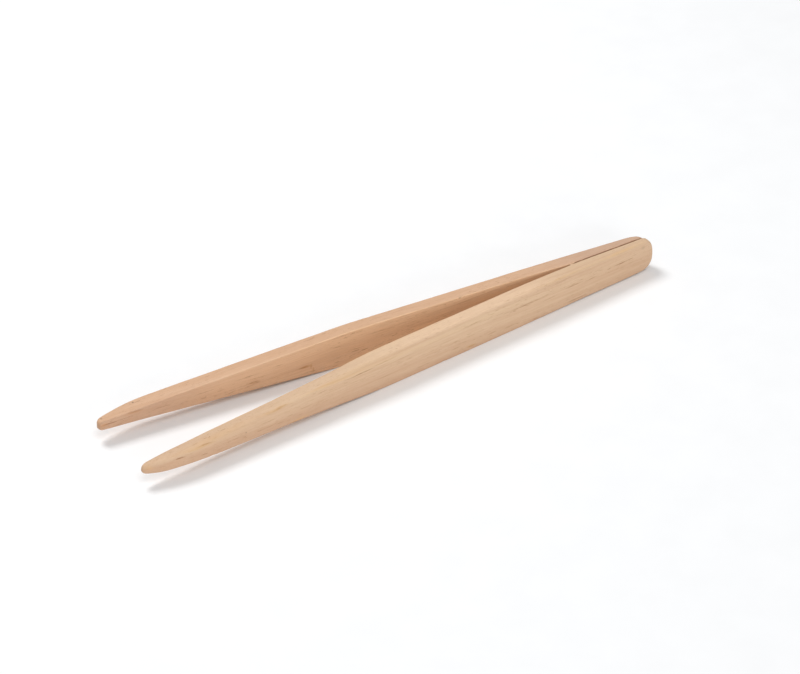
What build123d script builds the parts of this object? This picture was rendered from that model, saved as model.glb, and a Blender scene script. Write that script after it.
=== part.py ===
from build123d import *
import math
import os

# Wooden clay modelling tweezers, all sizes in millimetres.
#
# Frame: the tool stands on the narrow edges of its arms.
#   origin  under the middle of the length, between the arms, at the height of
#           the surface that the tool stands on
#   +X      towards the glued butt; the tips point to -X
#   +Y      towards the right arm, seen by a person who holds the butt
#   +Z      up, across the width of the laths
#
# Each arm is one thin hardwood lath.  Its inner side is planed to a shallow
# wedge over the glue face, and the laths are glued there, so that they splay
# apart towards the tips and spring back when they are squeezed.

# ---- driving dimensions -------------------------------------------------
LENGTH = 230.0            # butt end to tips
WIDTH_BUTT = 13.1         # width of a lath where the rounded butt begins
WIDTH_MAX = 14.4          # width along the grip
WIDTH_TIP = 3.15          # width at the end of the taper
GRIP_START = 59.8         # distance from the butt where the width is largest
GRIP_END = 129.6          # distance from the butt where the taper begins
THICK_BUTT = 2.45         # thickness of one lath at the butt end
GLUE_LENGTH = 33.6        # length of the planed glue face
GLUE_FILM = 0.15          # thickness of the cured glue between the laths
SLOPE_OUT = 0.0766        # splay of the outer face, sideways per length
SLOPE_IN = 0.0725         # splay of the free inner face, sideways per length
BEAD_LENGTH = 2.6         # glue squeezed out into the crotch of the V
OUTER_ROUND = 1.2         # rounding of the outer long edges
TIP_ROUND = 1.25          # corner radius of the tip, seen from the side
TIP_CURVE_START = 209.5   # distance from the butt where the outer face curves in
TIP_CURVE_R = 55.0        # radius of that curve, seen from above
KINK_R_GRIP = 900.0       # large radii that soften the changes of taper
KINK_R_TAPER = 600.0
FLEX_POS = 60.0           # distance from the butt to the flexing line of an arm
FLEX_R = 6.0              # radius of the round interface about that line
FLEX_GAP = 0.05           # radial clearance of that interface
# -------------------------------------------------------------------------

os.makedirs("parts", exist_ok=True)

HALF = LENGTH / 2
HALF_FILM = GLUE_FILM / 2
Z_MID = WIDTH_MAX / 2     # height of the centre line of the laths


def at(dist):
    """X of a section, from its distance to the butt end."""
    return HALF - dist


def y_out(dist):
    return THICK_BUTT + HALF_FILM + SLOPE_OUT * dist


def y_in(dist):
    return HALF_FILM + max(0.0, SLOPE_IN * (dist - GLUE_LENGTH))


def side_outline(grow=0.0):
    """Outline of a lath seen from the side, a face in the XZ plane."""
    rb = WIDTH_BUTT / 2
    half = [
        (at(0.0), rb),
        (at(rb), rb),
        (at(GRIP_START), WIDTH_MAX / 2),
        (at(GRIP_END), WIDTH_MAX / 2),
        (at(LENGTH), WIDTH_TIP / 2),
    ]
    pts = half[1:] + [(x, -z) for x, z in reversed(half[1:])]
    edges = [Line(pts[i], pts[i + 1]) for i in range(len(pts) - 1)]
    edges.append(ThreePointArc(pts[-1], (HALF, 0), pts[0]))
    with BuildSketch(Plane.XY) as sk:
        with BuildLine():
            for e in edges:
                add(e)
        make_face()
        for dist, w, r in (
            (GRIP_START, WIDTH_MAX, KINK_R_GRIP),
            (GRIP_END, WIDTH_MAX, KINK_R_TAPER),
            (LENGTH, WIDTH_TIP, TIP_ROUND),
        ):
            near = [
                v
                for v in sk.vertices()
                if abs(v.X - at(dist)) < 0.01 and abs(abs(v.Y) - w / 2) < 0.01
            ]
            fillet(near, radius=r)
    return sk.sketch


def tip_curve():
    """The arc that carries the outer face on from its straight part to the
    tip, tangent to the straight part; seen from above."""
    n = math.hypot(1, SLOPE_OUT)
    start = (at(TIP_CURVE_START), y_out(TIP_CURVE_START))
    # unit vector along the straight face towards the tip, and its inward normal
    ax, ay = -1 / n, SLOPE_OUT / n
    nx, ny = -SLOPE_OUT / n, -1 / n
    cx, cy = start[0] + TIP_CURVE_R * nx, start[1] + TIP_CURVE_R * ny

    def point(angle):
        c, s = math.cos(angle), math.sin(angle)
        return (
            cx - TIP_CURVE_R * nx * c + TIP_CURVE_R * ax * s,
            cy - TIP_CURVE_R * ny * c + TIP_CURVE_R * ay * s,
        )

    # angle at which the arc reaches the end of the lath
    lo, hi = 0.0, 1.0
    for _ in range(60):
        mid = (lo + hi) / 2
        if point(mid)[0] > at(LENGTH):
            lo = mid
        else:
            hi = mid
    return start, point(lo / 2), (at(LENGTH), point(lo)[1])


def plan_outline():
    """Outline of the right lath seen from above, a face in the XY plane."""
    start, middle, end = tip_curve()
    return make_face(
        Wire(
            [
                Line((at(0), HALF_FILM), (at(0), y_out(0))),
                Line((at(0), y_out(0)), start),
                ThreePointArc(start, middle, end),
                Line(end, (at(LENGTH), y_in(LENGTH))),
                Line((at(LENGTH), y_in(LENGTH)), (at(GLUE_LENGTH), HALF_FILM)),
                Line((at(GLUE_LENGTH), HALF_FILM), (at(0), HALF_FILM)),
            ]
        )
    )


def stand(shape):
    """Turn a body drawn in XY and extruded along Z so that its Y becomes Z."""
    return shape.rotate(Axis.X, 90)


def right_lath():
    blank = extrude(plan_outline(), amount=WIDTH_MAX + 2)
    blank = Pos(0, 0, -1) * blank
    # the side outline lies in XY; turned about X it lies in XZ
    web = extrude(side_outline(), amount=30, both=True)
    web = Pos(0, 0, Z_MID) * stand(web)
    lath = blank & web
    lath = lath.solid() if hasattr(lath, "solid") else lath
    # the long outer edges, round the butt and the tip too: every edge of the
    # straight and the curved outer face but the one that they share
    outer = [f for f in lath.faces() if f.normal_at().Y > 0.8]
    assert len(outer) == 2, len(outer)
    mids = [tuple(round(c, 3) for c in e.center()) for f in outer for e in f.edges()]
    rim = [
        e
        for f in outer
        for e in f.edges()
        if mids.count(tuple(round(c, 3) for c in e.center())) == 1
    ]
    return fillet(rim, radius=OUTER_ROUND)


PX, PY = at(FLEX_POS), (y_out(FLEX_POS) + y_in(FLEX_POS)) / 2


def tip_side(radius):
    """Everything on the tips' side of the round interface at the flex line."""
    block = Pos(PX - 150, PY, Z_MID) * Box(300, 60, 60)
    drum = Pos(PX, PY, Z_MID) * Cylinder(radius, 60)
    return block + drum


lath = right_lath()
right_blade = (lath & tip_side(FLEX_R)).solid()
right_butt = (lath - tip_side(FLEX_R + FLEX_GAP)).solid()
left_blade = mirror(right_blade, about=Plane.XZ)
left_butt = mirror(right_butt, about=Plane.XZ)

# cured glue: the film between the planed faces and the small bead that was
# squeezed out into the crotch, hollow at its front like a meniscus
film_web = Pos(0, 0, Z_MID) * stand(extrude(side_outline(), amount=5, both=True))
film_plan = make_face(
    Polyline(
        (at(-1), HALF_FILM),
        (at(-1), -HALF_FILM),
        (at(GLUE_LENGTH), -HALF_FILM),
        (at(GLUE_LENGTH), HALF_FILM),
        close=True,
    )
)
bead_half = HALF_FILM + SLOPE_IN * BEAD_LENGTH
bead_plan = make_face(
    Wire(
        [
            Line((at(GLUE_LENGTH - 0.5), HALF_FILM), (at(GLUE_LENGTH), HALF_FILM)),
            Line((at(GLUE_LENGTH), HALF_FILM), (at(GLUE_LENGTH + BEAD_LENGTH), bead_half)),
            ThreePointArc(
                (at(GLUE_LENGTH + BEAD_LENGTH), bead_half),
                (at(GLUE_LENGTH + BEAD_LENGTH - 0.18), 0),
                (at(GLUE_LENGTH + BEAD_LENGTH), -bead_half),
            ),
            Line((at(GLUE_LENGTH + BEAD_LENGTH), -bead_half), (at(GLUE_LENGTH), -HALF_FILM)),
            Line((at(GLUE_LENGTH), -HALF_FILM), (at(GLUE_LENGTH - 0.5), -HALF_FILM)),
            Line((at(GLUE_LENGTH - 0.5), -HALF_FILM), (at(GLUE_LENGTH - 0.5), HALF_FILM)),
        ]
    )
)
film = extrude(film_plan, amount=WIDTH_MAX) & film_web
bead = extrude(bead_plan, amount=WIDTH_MAX) & film_web
glue_line = (film + bead).clean()
glue_line = glue_line.solid() if len(glue_line.solids()) == 1 else glue_line

NODES = {
    "left_arm_butt": left_butt,
    "left_arm_blade": left_blade,
    "right_arm_butt": right_butt,
    "right_arm_blade": right_blade,
    "glue_line": glue_line,
}

for name, shape in NODES.items():
    export_step(shape, f"parts/{name}.step")

# the angle that brings the inner edge of a tip to the closing plane
TIP_GAP = 0.1             # what stays free on each side when the tips meet
vx, vy = LENGTH - FLEX_POS, y_in(LENGTH) - PY
close_deg = math.degrees(
    math.asin((PY - TIP_GAP) / math.hypot(vx, vy)) + math.atan2(vy, vx)
)
print("flex line at X %.3f, Y +-%.4f, closing angle %.3f deg" % (PX, PY, close_deg))
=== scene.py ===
import math

import bmesh
import bpy
import numpy as np
from mathutils import Matrix, Vector, noise


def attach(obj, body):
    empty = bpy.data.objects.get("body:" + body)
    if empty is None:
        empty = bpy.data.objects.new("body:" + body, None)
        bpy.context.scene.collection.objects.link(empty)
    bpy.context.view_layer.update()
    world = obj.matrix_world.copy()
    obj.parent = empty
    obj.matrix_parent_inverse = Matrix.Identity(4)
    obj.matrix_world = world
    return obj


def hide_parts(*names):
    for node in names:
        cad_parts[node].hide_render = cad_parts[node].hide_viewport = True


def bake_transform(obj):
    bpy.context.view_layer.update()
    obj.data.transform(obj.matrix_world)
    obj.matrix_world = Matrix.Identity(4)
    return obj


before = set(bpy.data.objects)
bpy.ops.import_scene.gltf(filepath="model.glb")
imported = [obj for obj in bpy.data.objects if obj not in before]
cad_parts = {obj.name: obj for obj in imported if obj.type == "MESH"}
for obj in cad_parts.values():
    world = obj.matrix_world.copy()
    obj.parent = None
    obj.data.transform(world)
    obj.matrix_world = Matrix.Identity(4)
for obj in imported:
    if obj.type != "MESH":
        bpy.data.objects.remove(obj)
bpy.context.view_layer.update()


# ---------------------------------------------------------------------------
# The tool's dimensions, in millimetres, as in the CAD model
# ---------------------------------------------------------------------------
LENGTH = 230.0
HALF = LENGTH / 2
W_BUTT, W_MAX, W_TIP = 13.1, 14.4, 3.15
GRIP_START, GRIP_END = 59.8, 129.6
THICK_BUTT = 2.45
GLUE_LENGTH = 33.6
FILM = 0.15
SLOPE_OUT, SLOPE_IN = 0.0766, 0.0725
CURVE_START = 209.5
Z_MID = W_MAX / 2


def smooth_poly(points, soft, x):
    """A polyline through points, its corners rounded by averaging over +-soft
    (one value per corner)."""
    xs = np.array([p[0] for p in points], float)
    ys = np.array([p[1] for p in points], float)
    y = np.interp(x, xs, ys)
    for i in range(1, len(points) - 1):
        t = soft[i - 1]
        s0 = (ys[i] - ys[i - 1]) / (xs[i] - xs[i - 1])
        s1 = (ys[i + 1] - ys[i]) / (xs[i + 1] - xs[i])
        u = np.clip((x - (xs[i] - t)) / (2 * t), 0, 1)
        inside = (x > xs[i] - t) & (x < xs[i] + t)
        y = np.where(
            inside,
            ys[i] - s0 * t + s0 * (2 * t * u) + (s1 - s0) * t * u * u,
            y,
        )
    return y


def half_width(d):
    """Half of a lath's width, without its rounded ends."""
    pts = [
        (0.0, W_BUTT / 2),
        (GRIP_START, W_MAX / 2),
        (GRIP_END, W_MAX / 2),
        (LENGTH, W_TIP / 2),
    ]
    return smooth_poly(pts, [5.0, 8.0], np.asarray(d, float))


def seam_y(d):
    """The glue face is planed a touch out of true, so the seam wanders by a
    few tenths of a millimetre."""
    d = np.asarray(d, float)
    return 0.16 - 0.0115 * np.clip(d, 0, 36.0)


def table(points, d):
    """Values between the given (distance, value) pairs, smoothly."""
    xs = np.array([p[0] for p in points], float)
    ys = np.array([p[1] for p in points], float)
    d = np.asarray(d, float)
    return sum(np.interp(d + o, xs, ys) for o in (-4.0, -2.0, 0.0, 2.0, 4.0)) / 5


# Each lath was planed and sanded by hand. These are its small departures from
# the plan, in millimetres outwards: on its outer face and on its two edges.
BY_HAND = {
    -1: {
        "curve_r": 55.0,
        "face": [(0, 0.10), (60, 0.12), (230, 0.14)],
        "top": [
            (0, 0.02), (40, 0.08), (70, 0.12), (117, 0.12), (136, 0.10),
            (150, -0.28), (162, -0.26), (171, -0.18), (182, -0.03),
            (196, 0.24), (206, 0.38), (214, 0.48), (221, 0.60), (226, 0.40), (230, 0.0),
        ],
        "low": [
            (0, -0.05), (15, 0.12), (30, -0.02), (45, -0.04), (60, 0.04),
            (84, 0.20), (120, 0.12), (140, -0.10), (157, -0.34), (168, -0.24),
            (176, -0.20), (183, 0.0), (192, 0.20), (202, 0.32), (212, 0.22),
            (217, 0.36), (222, 0.88), (226, 0.95), (230, 0.32),
        ],
    },
    1: {
        "curve_r": 70.0,
        "face": [
            (0, 0.40), (20, 0.42), (37, 0.36), (46, 0.25), (64, 0.14),
            (72, 0.10), (106, 0.06), (125, 0.12), (145, 0.26), (165, 0.36),
            (188, 0.45), (196, 0.58), (212, 0.66), (222, 0.60), (230, 0.62),
        ],
        "top": [(0, 0.0), (60, 0.04), (140, 0.0), (188, 0.10), (215, 0.0), (230, 0.0)],
        "low": [(0, 0.0), (60, 0.1), (130, 0.22), (220, 0.22), (228, 0.38), (230, 0.3)],
    },
}


def y_outer(d, side):
    d = np.asarray(d, float)
    r = BY_HAND[side]["curve_r"]
    y = THICK_BUTT + FILM / 2 + SLOPE_OUT * d + table(BY_HAND[side]["face"], d)
    x = np.clip(d - CURVE_START, 0, None)
    return y - (r - np.sqrt(np.maximum(r * r - x * x, 1e-9))) * 1.04


def y_inner(d, side):
    """The inner side of a lath: the planed glue face, then the free face."""
    d = np.asarray(d, float)
    free = FILM / 2 + SLOPE_IN * np.clip(d - GLUE_LENGTH, 0, None)
    fade = np.clip((d - GLUE_LENGTH) / 26.0, 0, 1)
    fade = 1 - fade * fade * (3 - 2 * fade)
    return free + side * seam_y(d) * fade


def outward(me):
    """All faces of a closed mesh turned outwards."""
    bm = bmesh.new()
    bm.from_mesh(me)
    bmesh.ops.recalc_face_normals(bm, faces=bm.faces)
    bm.to_mesh(me)
    bm.free()
    me.update()


# ---------------------------------------------------------------------------
# Arms: one continuous lath each, as a closed mesh in rings around its outline
# ---------------------------------------------------------------------------
def outline(side, butt, tip_r):
    """The lath seen from the side: its upper and its lower edge, as points
    (distance from the butt, height) from the butt's foremost point to the
    middle of the tip, with inward normals.
    butt is (length, height of its foremost point, length of the upper corner,
    of the lower corner, how full both are), tip_r the upper and the lower
    corner's radius."""
    ahead, z0, a_up, a_low, full = butt
    d = []
    n_arc = 56
    span = max(a_up, a_low)
    for i in range(n_arc):
        d.append(span * (1 - math.cos(math.pi / 2 * i / n_arc)))
    x = span
    end = LENGTH - max(tip_r)
    while x < end - 0.3:
        d.append(x)
        x += 0.4 if x < 14 or x > LENGTH - 16 else 0.62
    for i in range(13):
        d.append(end + (LENGTH - end) * math.sin(math.pi / 2 * i / 12))
    d = np.array(d)
    hand = BY_HAND[side]
    out = []
    for sign, a, r, grow in (
        (1, a_up, tip_r[0], hand["top"]),
        (-1, a_low, tip_r[1], hand["low"]),
    ):
        h = half_width(d) + table(grow, d)
        r = min(r, float(h[-1]) - 0.08)
        base = z0 * sign
        u = np.clip(1 - d / a, 0, 1)
        z = base + (h - base) * (1 - u**full) ** (1 / full)
        v = np.clip((d - (LENGTH - r)) / r, 0, 1)
        z = z - r * (1 - np.sqrt(1 - v * v))
        p = np.stack([d - ahead * np.clip(1 - d / 30.0, 0, 1), sign * z], 1)
        p[-1] = (LENGTH, sign * z[-1])
        # the flat middle of the tip, down to its centre line
        steps = max(1, int(math.ceil(abs(z[-1]) / 0.35)))
        tail = [(LENGTH, sign * z[-1] * (1 - k / steps)) for k in range(1, steps + 1)]
        out.append((p, tail))
    most = max(len(t) for _, t in out)
    res = []
    for sign, (p, tail) in zip((1, -1), out):
        z_end = p[-1, 1]
        tail = [(LENGTH, z_end * (1 - k / most)) for k in range(1, most + 1)]
        p = np.concatenate([p, np.array(tail)])
        t = np.gradient(p, axis=0)
        t[0] = (0, sign)
        t[-1] = (0, -sign)
        t /= np.maximum(np.linalg.norm(t, axis=1, keepdims=True), 1e-9)
        for _ in range(3):
            t[1:-1] = (t[:-2] + 2 * t[1:-1] + t[2:]) / 4
            t /= np.linalg.norm(t, axis=1, keepdims=True)
        t[0] = (0, sign)
        t[-1] = (0, -sign)
        res.append((p, np.stack([t[:, 1], -t[:, 0]], 1) * sign))
    return res


def wobble(x, seed, wavelengths, amplitude):
    """A slow, seeded unevenness along the length."""
    rng = np.random.RandomState(seed)
    out = np.zeros_like(np.asarray(x, float))
    for w in wavelengths:
        out += math.sqrt(w / wavelengths[0]) * np.sin(
            2 * math.pi * x / w + rng.uniform(0, 2 * math.pi)
        )
    return amplitude * out / len(wavelengths)


def build_arm(name, side, seed, rim, rim_butt, tip_from, round_in_tip, butt, tip_r, nose, ahead, nicks):
    (p_up, n_up), (p_low, n_low) = outline(side, butt, tip_r)
    n = len(p_up)
    # perimeter: the upper half from butt to tip, then the lower half back
    idx_low = np.arange(n - 2, 0, -1)
    P = np.concatenate([p_up, p_low[idx_low]])
    N = np.concatenate([n_up, n_low[idx_low]])
    m = len(P)
    d0 = P[:, 0]
    upper = np.zeros(m, bool)
    upper[:n] = True

    tip = np.clip((d0 - tip_from) / (LENGTH - 4 - tip_from), 0, 1)
    tip = tip * tip * (3 - 2 * tip)
    glued = 1 - np.clip((d0 - (GLUE_LENGTH - 3)) / 6, 0, 1)
    phase = np.where(upper, 0.0, 37.0)
    r_out = np.where(upper, rim[0], rim[1])
    r_out = r_out * (1 + wobble(d0 + phase, seed, (71, 43, 23), 0.16))
    r_tip = np.where(upper, rim[2], rim[3])
    r_out = r_out * (1 - tip) + r_tip * tip
    near_butt = 1 - np.clip((d0 - 1.5) / 7.0, 0, 1)
    near_butt = near_butt * near_butt * (3 - 2 * near_butt)
    r_out = r_out + (rim_butt - r_out) * near_butt
    for _ in range(6):  # no sudden change where the rims meet at both ends
        r_out = (np.roll(r_out, 1) + 2 * r_out + np.roll(r_out, -1)) / 4
    r_in = 0.36 + wobble(d0 + phase, seed + 1, (61, 31, 17), 0.08)
    r_in = r_in * (1 - glued) + 0.25 * glued
    r_in = r_in * (1 - tip) + round_in_tip * tip
    edge = wobble(d0 + phase, seed + 2, (97, 53, 29), 0.02) * (1 - tip)
    # both roundings have to fit within the thickness
    thick = y_outer(d0, side) - y_inner(d0, side)
    fit = np.minimum(1, 0.93 * thick / (r_out + r_in))
    r_out, r_in = r_out * fit, r_in * fit

    rings = []

    def ring(inset, y):
        q = P + N * (inset + edge)[:, None]
        rings.append(np.stack([q[:, 0], y(q[:, 0]), q[:, 1]], 1))

    def outer_y(q, drop):
        return y_outer(q, side) - drop

    def inner_y(q, drop):
        return y_inner(q, side) + drop

    crown = 0.05
    K = 7
    for k in range(K, -1, -1):  # from the outer face's rim down to the flank
        a = math.pi / 2 * k / K
        inset = crown * 0.7 + (r_out - crown * 0.7) * (1 - math.cos(a))
        drop = r_out * (1 - math.sin(a))
        ring(inset, lambda q, drop=drop: outer_y(q, drop))
    top_ring, bottom_y = rings[-1], None
    KS = 6
    for k in range(1, KS):  # the flank, very slightly crowned
        t = k / KS
        inset = crown * 0.7 * (2 * t - 1) ** 2 * np.ones(m)
        drop_o, drop_i = r_out, r_in

        def y_mix(q, t=t):
            return (y_outer(q, side) - drop_o) * (1 - t) + (y_inner(q, side) + drop_i) * t

        ring(inset, y_mix)
    KI = 5
    for k in range(0, KI + 1):  # and the eased inner edge
        a = math.pi / 2 * k / KI
        inset = crown * 0.7 + r_in * (1 - math.cos(a))
        drop = r_in * (1 - math.sin(a))
        ring(inset, lambda q, drop=drop: inner_y(q, drop))

    verts = [tuple(v) for r in rings for v in r]
    faces = []
    for a in range(len(rings) - 1):
        for j in range(m):
            k = (j + 1) % m
            faces.append((a * m + j, a * m + k, (a + 1) * m + k, (a + 1) * m + j))

    def cap(ring_index, inner):
        """Fills the face inside a rim with rungs from its upper to its lower
        side."""
        base = ring_index * m
        rim = rings[ring_index]
        M = 14
        rows = []
        for j in range(1, n - 1):
            up, low = base + j, base + (m - j)
            a, b = rim[j], rim[m - j]
            row = [up]
            h = abs(a[2] - b[2]) / 2
            for i in range(1, M):
                t = i / M
                # rungs are denser near the rim
                t = 0.5 - 0.5 * math.cos(math.pi * t) * (0.85 + 0.15 * abs(math.cos(math.pi * t)))
                p = a + (b - a) * t
                s = 2 * t - 1
                bulge = 0.09 * min(1.0, h / 5.0) * (1 - s * s)
                if inner:
                    y = float(y_inner(p[0], side))
                    free = min(1.0, max(0.0, (p[0] - GLUE_LENGTH - 1) / 8))
                    y -= 0.5 * bulge * free
                else:
                    y = float(y_outer(p[0], side)) + bulge
                verts.append((p[0], y, p[2]))
                row.append(len(verts) - 1)
            row.append(low)
            rows.append(row)
        tris = []
        for r0, r1 in zip(rows[:-1], rows[1:]):
            for i in range(M):
                tris.append((r0[i], r1[i], r1[i + 1], r0[i + 1]))
        first, last = base, base + n - 1
        for i in range(M):
            tris.append((first, rows[0][i], rows[0][i + 1]))
            tris.append((last, rows[-1][i + 1], rows[-1][i]))
        if inner:
            tris = [tuple(reversed(f)) for f in tris]
        faces.extend(tris)

    cap(0, False)
    cap(len(rings) - 1, True)

    V = np.array(verts, float)
    # the tip is rounded off seen from above as well
    depth = (V[:, 1] - y_inner(V[:, 0], side)) / (y_outer(V[:, 0], side) - y_inner(V[:, 0], side))
    off = 2 * np.clip(depth, 0, 1) - 1
    w = np.clip((V[:, 0] - (LENGTH - 5.0)) / 5.0, 0, 1)
    w = w * w * (3 - 2 * w)
    V[:, 0] += w * (ahead - np.where(off < 0, nose[0], nose[1]) * off**2)
    # the wood's own coordinates: along, depth below the outer face, across
    wood = np.stack(
        [
            V[:, 0],
            THICK_BUTT + FILM / 2 + SLOPE_OUT * V[:, 0] - V[:, 1],
            V[:, 2],
        ],
        1,
    )
    # to the row frame, in metres
    W = np.stack([HALF - V[:, 0], side * V[:, 1], V[:, 2] + Z_MID], 1)
    me = bpy.data.meshes.new(name)
    flip = side > 0
    fs = [tuple(reversed(f)) if flip else f for f in faces]
    me.from_pydata([tuple(v * 0.001) for v in W], [], fs)
    me.update()
    me.validate()
    outward(me)
    ob = bpy.data.objects.new(name, me)
    bpy.context.scene.collection.objects.link(ob)

    # sanding unevenness and a few small nicks, along the normals
    me.calc_loop_triangles()
    normals = np.array([v.normal[:] for v in me.vertices])
    shift = np.zeros(len(V))
    for i, (d, t, w) in enumerate(wood):
        q = Vector((d * 0.11 + seed, t * 0.35, w * 0.30))
        q2 = Vector((d * 0.38 - seed, t * 0.9, w * 0.85))
        shift[i] = 0.035 * noise.noise(q) + 0.012 * noise.noise(q2)
    keep = np.clip((V[:, 0] - GLUE_LENGTH - 2) / 6, 0, 1)
    glue_face = np.abs(V[:, 1] - y_inner(V[:, 0], side)) < 0.6
    shift = np.where(glue_face, shift * keep, shift)
    for (nd, nt, nw, rad_d, rad, depth) in nicks:
        r = np.sqrt(
            ((wood[:, 0] - nd) / rad_d) ** 2
            + ((wood[:, 1] - nt) / rad) ** 2
            + ((wood[:, 2] - nw) / rad) ** 2
        )
        shift -= depth * np.clip(1 - r, 0, 1) ** 2 * (3 - 2 * np.clip(1 - r, 0, 1))
    W = W + normals * shift[:, None]
    W[:, 2] = np.maximum(W[:, 2], 0.0)
    me.vertices.foreach_set("co", (W * 0.001).astype(np.float32).ravel())

    att = me.attributes.new("lath", "FLOAT_VECTOR", "POINT")
    att.data.foreach_set("vector", wood.astype(np.float32).ravel())
    # where the fibres are cut across: the butt end and the very tip
    end = np.abs(normals[:, 0])
    end = np.clip((end - 0.45) / 0.4, 0, 1)
    end = end * end * (3 - 2 * end)
    att = me.attributes.new("end_grain", "FLOAT", "POINT")
    att.data.foreach_set("value", end.astype(np.float32))
    for p in me.polygons:
        p.use_smooth = True
    me.update()
    return ob


# ---------------------------------------------------------------------------
# Materials
# ---------------------------------------------------------------------------
def lin(r, g, b):
    """Linear colour from 8-bit sRGB values."""
    out = []
    for c in (r, g, b):
        c /= 255.0
        out.append(c / 12.92 if c <= 0.04045 else ((c + 0.055) / 1.055) ** 2.4)
    return (*out, 1.0)


class Tree:
    """A small helper that builds shader nodes."""

    def __init__(self, name):
        self.mat = bpy.data.materials.new(name)
        self.mat.use_nodes = True
        self.nt = self.mat.node_tree
        self.nt.nodes.clear()
        self.out = self.nt.nodes.new("ShaderNodeOutputMaterial")
        self.bsdf = self.nt.nodes.new("ShaderNodeBsdfPrincipled")
        self.nt.links.new(self.bsdf.outputs[0], self.out.inputs[0])

    def put(self, socket, value):
        if isinstance(value, bpy.types.NodeSocket):
            self.nt.links.new(value, socket)
        elif value is not None:
            socket.default_value = value

    def attribute(self, name, output):
        n = self.nt.nodes.new("ShaderNodeAttribute")
        n.attribute_name = name
        return n.outputs[output]

    def math(self, op, a, b=None, c=None, clamp=False):
        n = self.nt.nodes.new("ShaderNodeMath")
        n.operation = op
        n.use_clamp = clamp
        for i, v in enumerate((a, b, c)):
            if v is not None:
                self.put(n.inputs[i], v)
        return n.outputs[0]

    def vec(self, op, a, b=None, c=None):
        n = self.nt.nodes.new("ShaderNodeVectorMath")
        n.operation = op
        for i, v in enumerate((a, b, c)):
            if v is not None:
                self.put(n.inputs[i], v)
        return n.outputs["Value" if op in ("LENGTH", "DOT_PRODUCT", "DISTANCE") else "Vector"]

    def split(self, v):
        n = self.nt.nodes.new("ShaderNodeSeparateXYZ")
        self.put(n.inputs[0], v)
        return n.outputs

    def join(self, x, y, z):
        n = self.nt.nodes.new("ShaderNodeCombineXYZ")
        for i, v in enumerate((x, y, z)):
            self.put(n.inputs[i], v)
        return n.outputs[0]

    def noise(self, v, scale, offset=(0, 0, 0), detail=2.0, rough=0.5, distort=0.0):
        n = self.nt.nodes.new("ShaderNodeTexNoise")
        n.noise_dimensions = "3D"
        self.put(n.inputs["Vector"], self.vec("MULTIPLY_ADD", v, scale, offset))
        n.inputs["Scale"].default_value = 1.0
        n.inputs["Detail"].default_value = detail
        n.inputs["Roughness"].default_value = rough
        n.inputs["Distortion"].default_value = distort
        return n.outputs["Fac"]

    def remap(self, v, a, b, c=0.0, d=1.0, smooth=True):
        n = self.nt.nodes.new("ShaderNodeMapRange")
        n.interpolation_type = "SMOOTHSTEP" if smooth else "LINEAR"
        n.clamp = True
        for i, x in enumerate((v, a, b, c, d)):
            self.put(n.inputs[i], x)
        return n.outputs[0]

    def ramp(self, fac, stops):
        n = self.nt.nodes.new("ShaderNodeValToRGB")
        e = n.color_ramp.elements
        while len(e) > 1:
            e.remove(e[-1])
        e[0].position, e[0].color = stops[0]
        for p, c in stops[1:]:
            k = e.new(p)
            k.color = c
        self.put(n.inputs[0], fac)
        return n.outputs[0]

    def mix(self, fac, a, b, blend="MIX"):
        n = self.nt.nodes.new("ShaderNodeMix")
        n.data_type = "RGBA"
        n.blend_type = blend
        n.clamp_factor = True
        self.put(n.inputs[0], fac)
        self.put(n.inputs[6], a)
        self.put(n.inputs[7], b)
        return n.outputs[2]

    def marks(self, v, items):
        """The sum of soft elongated spots, each (centre, radii, strength)."""
        total = None
        for c, r, s in items:
            scale = tuple(1.0 / x for x in r)
            shift = tuple(-a / b for a, b in zip(c, r))
            dist = self.vec("LENGTH", self.vec("MULTIPLY_ADD", v, scale, shift))
            one = self.remap(dist, 1.0, 0.0, 0.0, s)
            total = one if total is None else self.math("ADD", total, one)
        return total


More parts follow.
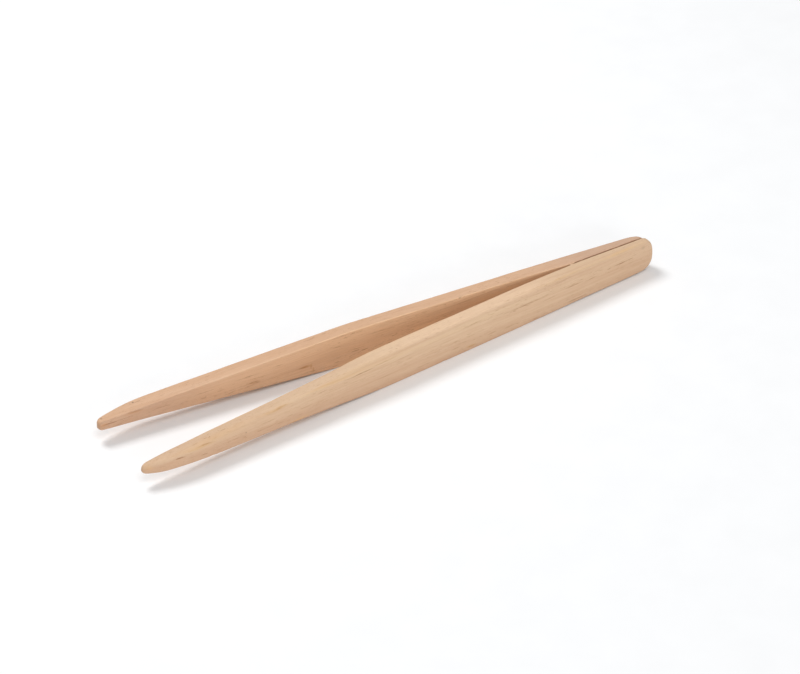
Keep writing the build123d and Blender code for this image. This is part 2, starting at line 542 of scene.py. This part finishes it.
def wood(name, p):
    """Bare sanded pale hardwood. Its pattern is solid: it reads the lath's own
    coordinates in millimetres, so it stays in the wood."""
    t = Tree(name)
    lath = t.attribute("lath", "Vector")
    end = t.attribute("end_grain", "Fac")
    u, dep, w = t.split(lath)

    # the grain isn't quite parallel to the edges, and it wanders
    drift = t.math("MULTIPLY", u, p["slope"])
    sway = t.noise(lath, (0.011, 0.05, 0.03), p["seed"], 1.0)
    sway = t.math("MULTIPLY", t.math("SUBTRACT", sway, 0.5), p["sway"])
    w2 = t.math("SUBTRACT", w, t.math("ADD", drift, sway))
    g = t.join(u, dep, w2)
    sx, sy, sz = p["seed"]

    # broad growth layers, cut at a slant
    layer = t.math("ADD", t.math("MULTIPLY", w2, p["tilt"][0]), t.math("MULTIPLY", dep, p["tilt"][1]))
    lay = t.join(t.math("MULTIPLY", u, 0.006), layer, 0.0)
    broad = t.noise(lay, (1.0, 0.30, 1.0), (sx + 3.1, sy, sz), 2.0, 0.55, 0.25)
    lean = t.math("MULTIPLY", w, p["lean"])
    lean = t.math("ADD", lean, t.remap(u, 40.0, 230.0, 0.0, p["to_tip"]))
    broad = t.math("ADD", t.math("MULTIPLY", broad, p["contrast"]), t.math("ADD", lean, 0.5 - 0.5 * p["contrast"]))
    rings = t.noise(lay, (2.0, 1.55, 1.0), (sx + 9.7, sy, sz + 5.0), 2.0, 0.6, 0.35)
    color = t.ramp(
        t.remap(broad, 0.30, 0.70, smooth=False),
        [(0.0, p["c_dark"]), (0.38, p["c_mid"]), (0.68, p["c_light"]), (1.0, p["c_yellow"])],
    )
    color = t.mix(t.remap(rings, 0.52, 0.76, 0.0, p["ring_strength"]), color, p["c_ring"])

    # painted light: the inner side is painted lighter towards the crotch, to make up for the shade in the
    # narrowing V
    inner = t.math("MULTIPLY", t.remap(dep, 4.82, 5.06), t.remap(u, 228.0, 100.0))
    color = t.mix(t.math("MULTIPLY", inner, p["crotch_light"]), color, p["c_crotch_light"])

    # painted shade: the inner side is painted greyer and darker towards the tip
    tip_shade = t.math("MULTIPLY", t.remap(dep, 5.30, 5.60), t.remap(u, 178.0, 212.0))
    color = t.mix(t.math("MULTIPLY", tip_shade, p["tip_shade"]), color, p["c_tip_shade"])

    # and greyer and darker on the upper edge near the butt
    butt_top_grey = t.math("MULTIPLY", t.remap(w, 5.6, 6.6), t.remap(u, 58.0, 24.0))
    color = t.mix(t.math("MULTIPLY", butt_top_grey, p["butt_top_grey"]), color, p["c_butt_top_grey"])

    # painted highlight: part of the upper edge is painted paler, as light from above makes it
    edge = t.math("MULTIPLY", t.remap(w, 6.0, 7.0), t.remap(u, 42.0, 62.0))
    edge = t.math("MULTIPLY", edge, t.remap(u, 150.0, 105.0))
    color = t.mix(t.math("MULTIPLY", edge, p["top_edge_light"]), color, p["c_top_edge_light"])

    # medium streaks, a few centimetres long
    streak = t.noise(g, (0.022, 0.75, 1.25), (sx + 21.0, sy + 4.0, sz), 3.0, 0.6, 0.3)
    color = t.mix(t.remap(streak, 0.54, 0.78, 0.0, p["streak_strength"]), color, p["c_streak"])
    pale = t.noise(g, (0.03, 0.6, 0.95), (sx - 14.0, sy + 8.0, sz), 2.0, 0.5, 0.2)
    color = t.mix(t.remap(pale, 0.55, 0.8, 0.0, 0.35), color, p["c_pale"])

    # fine fibres
    fibre = t.noise(g, (0.11, 4.2, 5.6), (sx, sy + 31.0, sz), 3.0, 0.65, 0.15)
    fibre_fine = t.noise(g, (0.35, 11.0, 14.0), (sx + 5.0, sy + 2.0, sz + 40.0), 2.0, 0.6)
    color = t.mix(t.remap(fibre, 0.38, 0.72, 0.0, 0.34), color, p["c_fibre"])
    color = t.mix(t.remap(fibre_fine, 0.45, 0.80, 0.0, 0.16), color, p["c_fibre"])
    mottle = t.noise(g, (0.16, 0.35, 0.45), (sx + 70.0, sy, sz), 2.0, 0.5)
    color = t.mix(t.remap(mottle, 0.35, 0.75, 0.0, 0.16), color, p["c_mottle"])

    # glue soaked into the edge of the seam leaves a thin brown line
    inward = t.math("SUBTRACT", t.math("MULTIPLY_ADD", u, SLOPE_OUT + 0.0115 * p["side"], THICK_BUTT - 0.16 * p["side"]), dep)
    soaked = t.math("MULTIPLY", t.remap(inward, p["soak"], 0.12), t.remap(u, 35.6, 34.4))
    speckle = t.noise(lath, (0.5, 1.0, 1.0), (sx, sy + 12.0, sz), 1.0)
    soaked = t.math("MULTIPLY", soaked, t.remap(speckle, 0.30, 0.50, 0.45, 0.85))
    color = t.mix(soaked, color, p["c_soak"])

    # vessels cut open: short thin dark dashes, thicker in some places
    dash = t.noise(g, (0.20, 2.4, 3.4), (sx + 11.0, sy + 17.0, sz), 1.0, 0.4)
    crowd = t.noise(g, (0.02, 0.22, 0.28), (sx - 33.0, sy, sz + 12.0), 1.0, 0.5)
    gate = t.remap(crowd, 0.42, 0.66, 0.0, 1.0)
    dashes = t.math("MULTIPLY", t.remap(dash, 0.685, 0.76), gate)
    hair = t.noise(g, (0.55, 7.5, 9.5), (sx + 3.0, sy + 51.0, sz), 0.0, 0.4)
    hairs = t.math("MULTIPLY", t.remap(hair, 0.72, 0.80), t.remap(crowd, 0.30, 0.60, 0.25, 1.0))
    tick = t.noise(g, (0.34, 3.4, 4.8), (sx + 43.0, sy + 7.0, sz + 19.0), 1.0, 0.4)
    ticks = t.math("MULTIPLY", t.remap(tick, 0.70, 0.76), t.remap(crowd, 0.34, 0.58, 0.15, 1.0))
    dashes = t.math("MAXIMUM", dashes, t.math("MULTIPLY", ticks, 0.85))
    color = t.mix(t.math("MULTIPLY", dashes, p["dash_strength"]), color, p["c_dash"])
    color = t.mix(t.math("MULTIPLY", hairs, p["hair_strength"]), color, p["c_dash"])

    # the particular marks of this lath
    broken = t.remap(t.noise(g, (0.5, 3.0, 4.5), (sx + 1.0, sy, sz + 3.0), 2.0, 0.6), 0.34, 0.60, 0.25, 1.0)
    wavy = t.vec(
        "ADD",
        lath,
        t.join(0.0, 0.0, t.math("MULTIPLY", t.math("SUBTRACT", t.noise(lath, (0.13, 0.2, 0.2), (sx, sy, 9.0), 2.0), 0.5), 1.1)),
    )
    lines = t.math("MULTIPLY", t.marks(wavy, p["lines"]), t.math("MULTIPLY", broken, 1.75), clamp=True)
    color = t.mix(lines, color, p["c_dash"])
    soft = t.math("MULTIPLY", t.marks(wavy, p["warm"]), 1.0, clamp=True)
    color = t.mix(soft, color, p["c_warm"])
    spots = t.math("MULTIPLY", t.marks(lath, p["spots"]), 1.0, clamp=True)
    color = t.mix(spots, color, p["c_spot"])

    # cut fibres take up more dirt and oil
    endmask = t.math("MULTIPLY", end, p["end_strength"])
    cells = t.noise(lath, (0.4, 4.0, 4.0), (sx, sy + 5.0, sz), 2.0, 0.6)
    endmask = t.math("MULTIPLY", endmask, t.remap(cells, 0.3, 0.7, 0.7, 1.0))
    color = t.mix(endmask, color, p["c_end"])

    t.put(t.bsdf.inputs["Base Color"], color)
    rough = t.remap(fibre, 0.3, 0.75, 0.50, 0.66)
    t.put(t.bsdf.inputs["Roughness"], rough)
    t.bsdf.inputs["Specular IOR Level"].default_value = 0.34
    t.bsdf.inputs["IOR"].default_value = 1.5
    height = t.math("MULTIPLY", fibre, -0.35)
    height = t.math("ADD", height, t.math("MULTIPLY", fibre_fine, -0.35))
    height = t.math("SUBTRACT", height, t.math("MULTIPLY", dashes, 0.9))
    height = t.math("SUBTRACT", height, t.math("MULTIPLY", hairs, 0.7))
    height = t.math("SUBTRACT", height, t.math("MULTIPLY", lines, 0.5))
    bump = t.nt.nodes.new("ShaderNodeBump")
    bump.inputs["Strength"].default_value = 0.55
    bump.inputs["Distance"].default_value = 0.00006
    t.put(bump.inputs["Height"], height)
    t.put(t.bsdf.inputs["Normal"], bump.outputs[0])
    return t.mat


LEFT = {
    "seed": (4.3, 11.2, 27.9),
    "slope": 0.022,
    "sway": 5.0,
    "lean": 0.020,
    "to_tip": -0.16,
    "contrast": 0.6,
    "tilt": (0.92, 0.40),
    # painted light: how strongly the inner side is lightened towards the crotch
    "crotch_light": 0.5,
    "side": -1,
    "soak": 0.34,
    "c_soak": lin(136, 92, 60),
    "butt_top_grey": 0.0,
    "c_butt_top_grey": lin(216, 176, 143),
    # painted shade on the inner side towards the tip
    "tip_shade": 0.0,
    "c_tip_shade": lin(192, 154, 128),
    # painted highlight on part of the upper edge
    "top_edge_light": 0.70,
    "c_top_edge_light": lin(234, 201, 168),
    # colour of the painted light on the inner side
    "c_crotch_light": lin(226, 188, 146),
    "c_light": lin(217, 186, 153),
    "c_mid": lin(211, 177, 145),
    "c_dark": lin(203, 165, 134),
    "c_yellow": lin(221, 190, 152),
    "c_ring": lin(197, 156, 124),
    "ring_strength": 0.45,
    "c_streak": lin(198, 154, 122),
    "streak_strength": 0.54,
    "c_pale": lin(224, 197, 166),
    "c_fibre": lin(195, 156, 121),
    "c_mottle": lin(220, 190, 160),
    "c_dash": lin(160, 112, 74),
    "dash_strength": 0.80,
    "hair_strength": 0.38,
    "c_warm": lin(214, 168, 110),
    "c_spot": lin(98, 74, 58),
    "c_end": lin(178, 138, 102),
    "end_strength": 0.30,
    # (distance from the butt, depth, across), radii, strength
    "lines": [
        ((15.5, 0.0, 1.8), (6.5, 1.0, 0.42), 0.62),
        ((30.5, 0.0, 0.9), (4.5, 1.0, 0.40), 0.42),
        ((39.0, 0.0, 1.3), (6.0, 1.0, 0.45), 0.45),
        ((63.0, 0.0, 2.2), (20.0, 1.0, 0.45), 0.42),
        ((51.0, 0.0, 0.3), (5.0, 1.0, 0.28), 0.40),
        ((37.5, 0.0, -5.4), (6.5, 1.0, 0.36), 0.60),
        ((58.0, 0.0, -5.9), (4.0, 1.0, 0.30), 0.50),
        ((70.0, 0.0, -4.2), (4.0, 1.0, 0.28), 0.45),
        ((78.5, 0.0, -3.9), (3.2, 1.0, 0.28), 0.50),
        ((45.5, 0.0, 5.5), (10.0, 1.0, 0.30), 0.25),
        ((88.3, 0.0, -5.3), (3.0, 1.0, 0.42), 0.70),
        ((95.5, 0.0, -3.6), (3.0, 1.0, 0.28), 0.50),
        ((95.0, 0.0, -0.6), (2.4, 1.0, 0.26), 0.50),
        ((87.5, 0.0, 4.0), (7.0, 1.0, 0.32), 0.42),
        ((99.0, 0.0, 1.4), (6.0, 1.0, 0.26), 0.30),
        ((110.0, 0.0, -4.6), (5.0, 1.0, 0.28), 0.42),
        ((119.0, 0.0, 2.9), (7.0, 1.0, 0.28), 0.30),
        ((128.0, 0.0, -1.8), (5.0, 1.0, 0.26), 0.32),
        ((139.0, 0.0, 4.0), (10.0, 1.0, 0.36), 0.72),
        ((128.0, 0.0, 4.6), (8.0, 1.0, 0.26), 0.40),
        ((163.0, 0.0, 0.2), (3.5, 1.0, 0.26), 0.34),
        ((179.3, 0.0, 1.1), (4.4, 1.0, 0.26), 0.52),
        ((180.0, 0.0, -1.3), (5.6, 1.0, 0.26), 0.48),
        ((170.0, 0.0, -0.6), (2.6, 1.0, 0.24), 0.34),
        ((174.0, 0.0, 4.3), (4.5, 1.2, 0.36), 0.45),
        ((217.0, 0.3, 1.6), (4.0, 1.0, 0.36), 0.80),
        ((206.0, 0.3, 3.0), (4.5, 1.0, 0.26), 0.55),
        ((199.0, 0.3, 3.6), (5.5, 1.0, 0.24), 0.45),
        ((211.0, 0.3, 0.2), (3.0, 1.0, 0.24), 0.40),
        ((224.0, 1.2, 0.3), (3.0, 1.2, 0.34), 0.35),
    ],
    "warm": [
        ((16.0, 0.6, 6.3), (16.0, 0.9, 0.8), 0.55),
        ((48.0, 0.5, 6.6), (28.0, 0.8, 0.7), 0.42),
        ((88.3, 0.0, -5.3), (3.6, 1.0, 0.7), 0.45),
        ((166.0, 0.0, -3.7), (6.0, 1.0, 0.7), 0.50),
        ((176.0, 0.4, 4.2), (9.0, 1.2, 0.7), 0.40),
        ((207.0, 0.6, 2.7), (9.0, 1.3, 0.6), 0.42),
        ((228.3, 2.6, 0.6), (3.0, 2.2, 1.6), 0.45),
        ((150.0, 0.3, 5.2), (22.0, 1.0, 0.9), 0.30),
        ((134.0, 0.6, 5.6), (34.0, 1.6, 2.4), 0.22),
        ((201.0, 1.2, 3.4), (28.0, 2.6, 2.6), 0.24),
    ],
    "spots": [
        ((189.0, 0.0, 0.5), (0.5, 0.8, 0.34), 0.75),
        ((4.9, 0.0, 4.4), (1.5, 0.8, 1.2), 0.22),
        ((228.6, 1.6, -0.4), (0.5, 0.6, 0.4), 0.30),
    ],
}

RIGHT = {
    "seed": (31.7, 3.4, 8.8),
    "slope": -0.030,
    "sway": 4.0,
    "lean": 0.010,
    "to_tip": -0.05,
    "contrast": 0.6,
    "tilt": (0.90, -0.44),
    # painted light: how strongly the inner side is lightened towards the crotch
    "crotch_light": 0.9,
    "side": 1,
    "soak": 0.50,
    "c_soak": lin(136, 92, 60),
    "butt_top_grey": 0.5,
    "c_butt_top_grey": lin(188, 158, 140),
    # painted shade on the inner side towards the tip
    "tip_shade": 0.6,
    "c_tip_shade": lin(190, 153, 128),
    # painted highlight on part of the upper edge
    "top_edge_light": 0.0,
    "c_top_edge_light": lin(216, 176, 143),
    # colour of the painted light on the inner side
    "c_crotch_light": lin(236, 196, 156),
    "c_light": lin(216, 176, 143),
    "c_mid": lin(211, 169, 134),
    "c_dark": lin(204, 158, 123),
    "c_yellow": lin(217, 181, 150),
    "c_ring": lin(194, 148, 115),
    "ring_strength": 0.40,
    "c_streak": lin(191, 144, 111),
    "streak_strength": 0.50,
    "c_pale": lin(220, 187, 157),
    "c_fibre": lin(190, 146, 112),
    "c_mottle": lin(216, 180, 150),
    "c_dash": lin(148, 98, 64),
    "dash_strength": 0.80,
    "hair_strength": 0.38,
    "c_warm": lin(190, 132, 80),
    "c_spot": lin(92, 68, 52),
    "c_end": lin(172, 128, 96),
    "end_strength": 0.35,
    "lines": [
        ((150.0, 5.2, -2.2), (4.0, 1.2, 0.50), 0.60),
        ((170.3, 5.3, -1.7), (3.4, 1.2, 0.22), 0.85),
        ((169.0, 5.3, -2.3), (3.0, 1.2, 0.22), 0.80),
        ((171.5, 5.3, -2.9), (2.4, 1.2, 0.20), 0.60),
        ((172.0, 5.3, 1.4), (7.0, 1.2, 0.28), 0.55),
        ((160.0, 5.3, 2.3), (3.6, 1.2, 0.26), 0.50),
        ((168.0, 5.3, -0.3), (5.6, 1.2, 0.26), 0.42),
        ((189.5, 5.5, 0.8), (5.6, 1.2, 0.26), 0.50),
        ((206.0, 5.6, 0.3), (4.4, 1.2, 0.28), 0.45),
        ((226.5, 5.7, 0.2), (4.0, 1.6, 0.36), 0.60),
        ((216.0, 5.6, 1.9), (4.5, 1.2, 0.40), 0.45),
        ((136.0, 5.1, 2.2), (4.0, 1.2, 0.28), 0.50),
        ((128.0, 5.1, -0.9), (5.0, 1.2, 0.30), 0.36),
        ((118.0, 5.0, 3.4), (7.0, 1.2, 0.28), 0.36),
        ((104.0, 5.0, 4.9), (7.0, 1.2, 0.28), 0.32),
        ((190.0, 5.5, -1.6), (1.6, 1.2, 0.40), 0.50),
        ((147.0, 5.2, -4.9), (7.0, 1.2, 0.24), 0.45),
    ],
    "warm": [
        ((149.0, 5.2, -2.2), (3.2, 1.2, 1.0), 0.75),
        ((146.6, 5.2, -2.6), (0.7, 1.2, 1.6), 0.62),
        ((145.7, 5.2, -4.4), (0.6, 1.2, 1.6), 0.55),
        ((217.0, 5.6, 1.6), (6.0, 1.2, 0.8), 0.40),
        ((228.6, 5.4, 0.2), (2.6, 1.8, 1.3), 0.45),
        ((170.3, 5.3, -2.0), (5.0, 1.2, 0.8), 0.35),
    ],
    "spots": [
        ((84.5, 5.0, 6.9), (0.9, 0.6, 0.5), 0.65),
        ((214.8, 1.0, 2.4), (0.6, 0.6, 0.7), 0.80),
        ((228.4, 3.6, 1.4), (0.7, 0.9, 0.7), 0.70),
        ((229.6, 4.6, 0.2), (0.6, 0.9, 0.7), 0.45),
        ((189.0, 5.5, -1.4), (0.45, 0.8, 0.34), 0.45),
    ],
}


def glue_material():
    """Cured wood glue: pale amber, a little glossy, with fine bubbles."""
    t = Tree("cured_glue")
    c = t.nt.nodes.new("ShaderNodeTexCoord").outputs["Object"]
    cloud = t.noise(c, (900.0, 900.0, 260.0), (2.0, 3.0, 4.0), 3.0, 0.6)
    fine = t.noise(c, (4200.0, 4200.0, 3000.0), (8.0, 1.0, 6.0), 2.0, 0.6)
    color = t.ramp(
        t.remap(cloud, 0.3, 0.7, smooth=False),
        [(0.0, lin(136, 98, 66)), (0.5, lin(164, 126, 90)), (1.0, lin(198, 166, 130))],
    )
    mm = t.vec("MULTIPLY", c, (1000.0, 1000.0, 1000.0))
    crown = t.marks(mm, [((HALF - 36.7, 0.0, 13.9), (2.2, 1.6, 1.8), 0.9)])
    color = t.mix(crown, color, lin(226, 198, 166))
    t.put(t.bsdf.inputs["Base Color"], color)
    t.put(t.bsdf.inputs["Roughness"], t.remap(fine, 0.3, 0.7, 0.30, 0.48))
    t.bsdf.inputs["Specular IOR Level"].default_value = 0.45
    bump = t.nt.nodes.new("ShaderNodeBump")
    bump.inputs["Strength"].default_value = 0.5
    bump.inputs["Distance"].default_value = 0.00005
    t.put(bump.inputs["Height"], fine)
    t.put(t.bsdf.inputs["Normal"], bump.outputs[0])
    return t.mat


def floor_material():
    t = Tree("studio_floor")
    c = t.nt.nodes.new("ShaderNodeTexCoord").outputs["Object"]
    grain = t.noise(c, (60.0, 60.0, 60.0), (0, 0, 0), 2.0, 0.5)
    color = t.ramp(grain, [(0.3, lin(247, 247, 247)), (0.7, lin(249, 249, 249))])
    t.put(t.bsdf.inputs["Base Color"], color)
    t.bsdf.inputs["Roughness"].default_value = 0.95
    t.bsdf.inputs["Specular IOR Level"].default_value = 0.0
    return t.mat


# ---------------------------------------------------------------------------
# Build the pieces
# ---------------------------------------------------------------------------
left = build_arm(
    "left_arm",
    -1,
    5,
    rim=(1.05, 0.70, 2.5, 1.5),  # upper and lower rim, then at the tip
    rim_butt=0.8,
    tip_from=198.0,
    round_in_tip=0.75,
    butt=(0.48, -0.7, 4.2, 6.0, 2.4),
    tip_r=(1.75, 1.9),
    nose=(1.5, 0.9),
    ahead=0.0,
    nicks=[
        (101.0, 0.2, -6.9, 1.6, 0.9, 0.16),
        (203.0, 0.3, -3.0, 1.2, 0.8, 0.14),
        (66.0, 0.4, 7.0, 1.8, 0.8, 0.10),
        (226.5, 1.0, 1.0, 1.2, 0.9, 0.12),
        (3.0, 0.3, -4.6, 1.0, 0.9, 0.12),
    ],
)
right = build_arm(
    "right_arm",
    1,
    12,
    rim=(0.42, 0.95, 0.95, 0.62),
    rim_butt=2.0,
    tip_from=214.0,
    round_in_tip=0.30,
    butt=(0.34, -0.4, 5.2, 6.6, 2.0),
    tip_r=(1.25, 0.75),
    nose=(0.5, 1.0),
    ahead=0.35,
    nicks=[
        (84.5, 5.0, 7.0, 1.2, 0.7, 0.18),
        (215.0, 0.9, 2.2, 0.9, 0.7, 0.18),
        (146.0, 5.2, -6.2, 1.4, 0.8, 0.16),
        (120.0, 0.3, 6.9, 2.0, 0.8, 0.10),
        (1.0, 0.4, -2.0, 1.0, 0.9, 0.12),
    ],
)


def build_glue():
    """The film between the planed faces, a little below the sanded edges, and
    the bead that was squeezed out into the crotch."""
    verts, faces, cols = [], [], []
    stations = (
        [0.12, 0.25, 0.42, 0.65, 0.95, 1.3, 1.7, 2.2, 2.8, 3.4, 4.0, 4.6, 5.2, 5.8]
        + list(np.arange(6.4, GLUE_LENGTH, 0.6))
        + list(np.linspace(GLUE_LENGTH, GLUE_LENGTH + 3.4, 10))
    )
    NZ = 40
    for d in stations:
        wide = float(half_width(d))
        # the film's corners follow those of the laths at the butt
        ends = []
        for base, a in ((-0.45, 5.2), (0.45, 6.6)):
            u = max(0.0, 1 - d / a)
            ends.append(base + (wide - base) * math.sqrt(1 - u * u))
        recess = 0.34 + 0.10 * noise.noise(Vector((d * 0.5, 3.0, 7.0)))
        col = []
        for side in (1, -1):
            row = []
            for k in range(NZ + 1):
                s = -1 + 2 * k / NZ
                # the bead's front isn't straight: it bulges near the top edge
                h = ends[0] if s >= 0 else ends[1]
                z = s * max(0.05, h - recess)
                y0 = float(seam_y(d))
                if d <= GLUE_LENGTH:
                    half = FILM / 2 + 0.02
                    xx = d
                else:
                    f = (d - GLUE_LENGTH) / 3.4
                    reach = (
                        0.72
                        + 0.22 * noise.noise(Vector((z * 0.35, 1.0, 2.0)))
                        + 0.35 * math.exp(-(((z - h + 0.8) / 1.1) ** 2))
                    )
                    xx = GLUE_LENGTH + 3.4 * f * reach
                    near = side * (
                        float(y_inner(xx, side)) + 0.03
                    )
                    tail = 1 - max(0.0, (f - 0.75) / 0.25) ** 2
                    y_mid = 0.5 * (
                        float(y_inner(xx, 1)) - float(y_inner(xx, -1))
                    )
                    y = y_mid + (near - y_mid) * max(0.0, tail)
                    lift = 0.12 * math.exp(-(((xx - 36.6) / 1.0) ** 2)) if s > 0.9 else 0
                    row.append((xx, y, z + lift))
                    continue
                row.append((xx, y0 + side * half, z))
            col.append(row)
        cols.append(col)
    m = 2 * (NZ + 1)
    for col in cols:
        loop = col[0] + col[1][::-1]
        for p in loop:
            verts.append((0.001 * (HALF - p[0]), 0.001 * p[1], 0.001 * (p[2] + Z_MID)))
    for a in range(len(cols) - 1):
        for j in range(m):
            k = (j + 1) % m
            faces.append((a * m + j, a * m + k, (a + 1) * m + k, (a + 1) * m + j))
    last = (len(cols) - 1) * m
    for j in range(NZ):  # both ends, as strips across the film
        faces.append((j + 1, j, m - 1 - j, m - 2 - j))
        faces.append((last + j, last + j + 1, last + m - 2 - j, last + m - 1 - j))
    me = bpy.data.meshes.new("glue_bead")
    me.from_pydata(verts, [], faces)
    me.update()
    me.validate()
    outward(me)
    for p in me.polygons:
        p.use_smooth = True
    ob = bpy.data.objects.new("glue_seam", me)
    bpy.context.scene.collection.objects.link(ob)
    return ob


glue = build_glue()

left.data.materials.append(wood("left_arm_wood", LEFT))
right.data.materials.append(wood("right_arm_wood", RIGHT))
glue.data.materials.append(glue_material())

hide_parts("left_arm_butt", "left_arm_blade")
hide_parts("right_arm_butt", "right_arm_blade")
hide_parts("glue_line")
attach(glue, "glued_butt")

# each arm's transform is applied to its mesh
for ob, body, s in ((left, "left_arm", -1), (right, "right_arm", 1)):
    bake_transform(ob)

# ---------------------------------------------------------------------------
# Studio: floor, light, camera
# ---------------------------------------------------------------------------
bpy.ops.mesh.primitive_grid_add(x_subdivisions=8, y_subdivisions=8, size=6.0, location=(0, 0, 0))
floor = bpy.context.active_object
floor.name = "studio_floor"
floor.data.materials.append(floor_material())

AZ, EL = 0.5765373786427382, 0.6103911158980609
DIST, TX, TY = 4.7734603349393, -0.0058411533, -0.0112741475
rot = Matrix.Rotation(-AZ, 3, "Z")
c_right = rot @ Vector((1, 0, 0))
c_up = rot @ Vector((0, math.sin(EL), math.cos(EL)))
c_fwd = rot @ Vector((0, math.cos(EL), -math.sin(EL)))
scale = LENGTH * 0.001
pos = (-TX * c_right - TY * c_up - DIST * c_fwd) * scale + Vector((0, 0, 0.001 * Z_MID))
cam_data = bpy.data.cameras.new("camera")
cam = bpy.data.objects.new("camera", cam_data)
bpy.context.scene.collection.objects.link(cam)
cam.matrix_world = Matrix.Translation(pos) @ Matrix((c_right, c_up, -c_fwd)).transposed().to_4x4()
cam_data.sensor_fit = "HORIZONTAL"
cam_data.sensor_width = 36.0
cam_data.lens = 135.0
cam_data.clip_start = 0.05
cam_data.clip_end = 20.0
bpy.context.scene.camera = cam

world = bpy.data.worlds.new("studio")
bpy.context.scene.world = world
world.use_nodes = True
bg = world.node_tree.nodes["Background"]
bg.inputs[0].default_value = (0.975, 1.0, 1.03, 1.0)
bg.inputs[1].default_value = 0.38


def softbox(name, direction, distance, size, power):
    data = bpy.data.lights.new(name, "AREA")
    data.shape = "DISK"
    data.size = size
    data.energy = power
    ob = bpy.data.objects.new(name, data)
    bpy.context.scene.collection.objects.link(ob)
    d = Vector(direction).normalized()
    ob.location = d * distance
    ob.rotation_euler = (-d).to_track_quat("-Z", "Y").to_euler()
    return ob


flat_right = Vector((c_right.x, c_right.y, 0)).normalized()
flat_fwd = Vector((c_fwd.x, c_fwd.y, 0)).normalized()
up = Vector((0, 0, 1))
softbox("key", -0.42 * flat_right + 0.36 * flat_fwd + 1.0 * up, 1.2, 0.50, 7.2)
softbox("front", 0.22 * flat_right - 0.55 * flat_fwd + 1.0 * up, 2.4, 1.5, 16.5)
softbox("low", 0.45 * flat_right - 1.0 * flat_fwd + 0.30 * up, 2.4, 1.1, 14.0)

bpy.context.scene.view_settings.view_transform = "Standard"
bpy.context.scene.view_settings.look = "None"
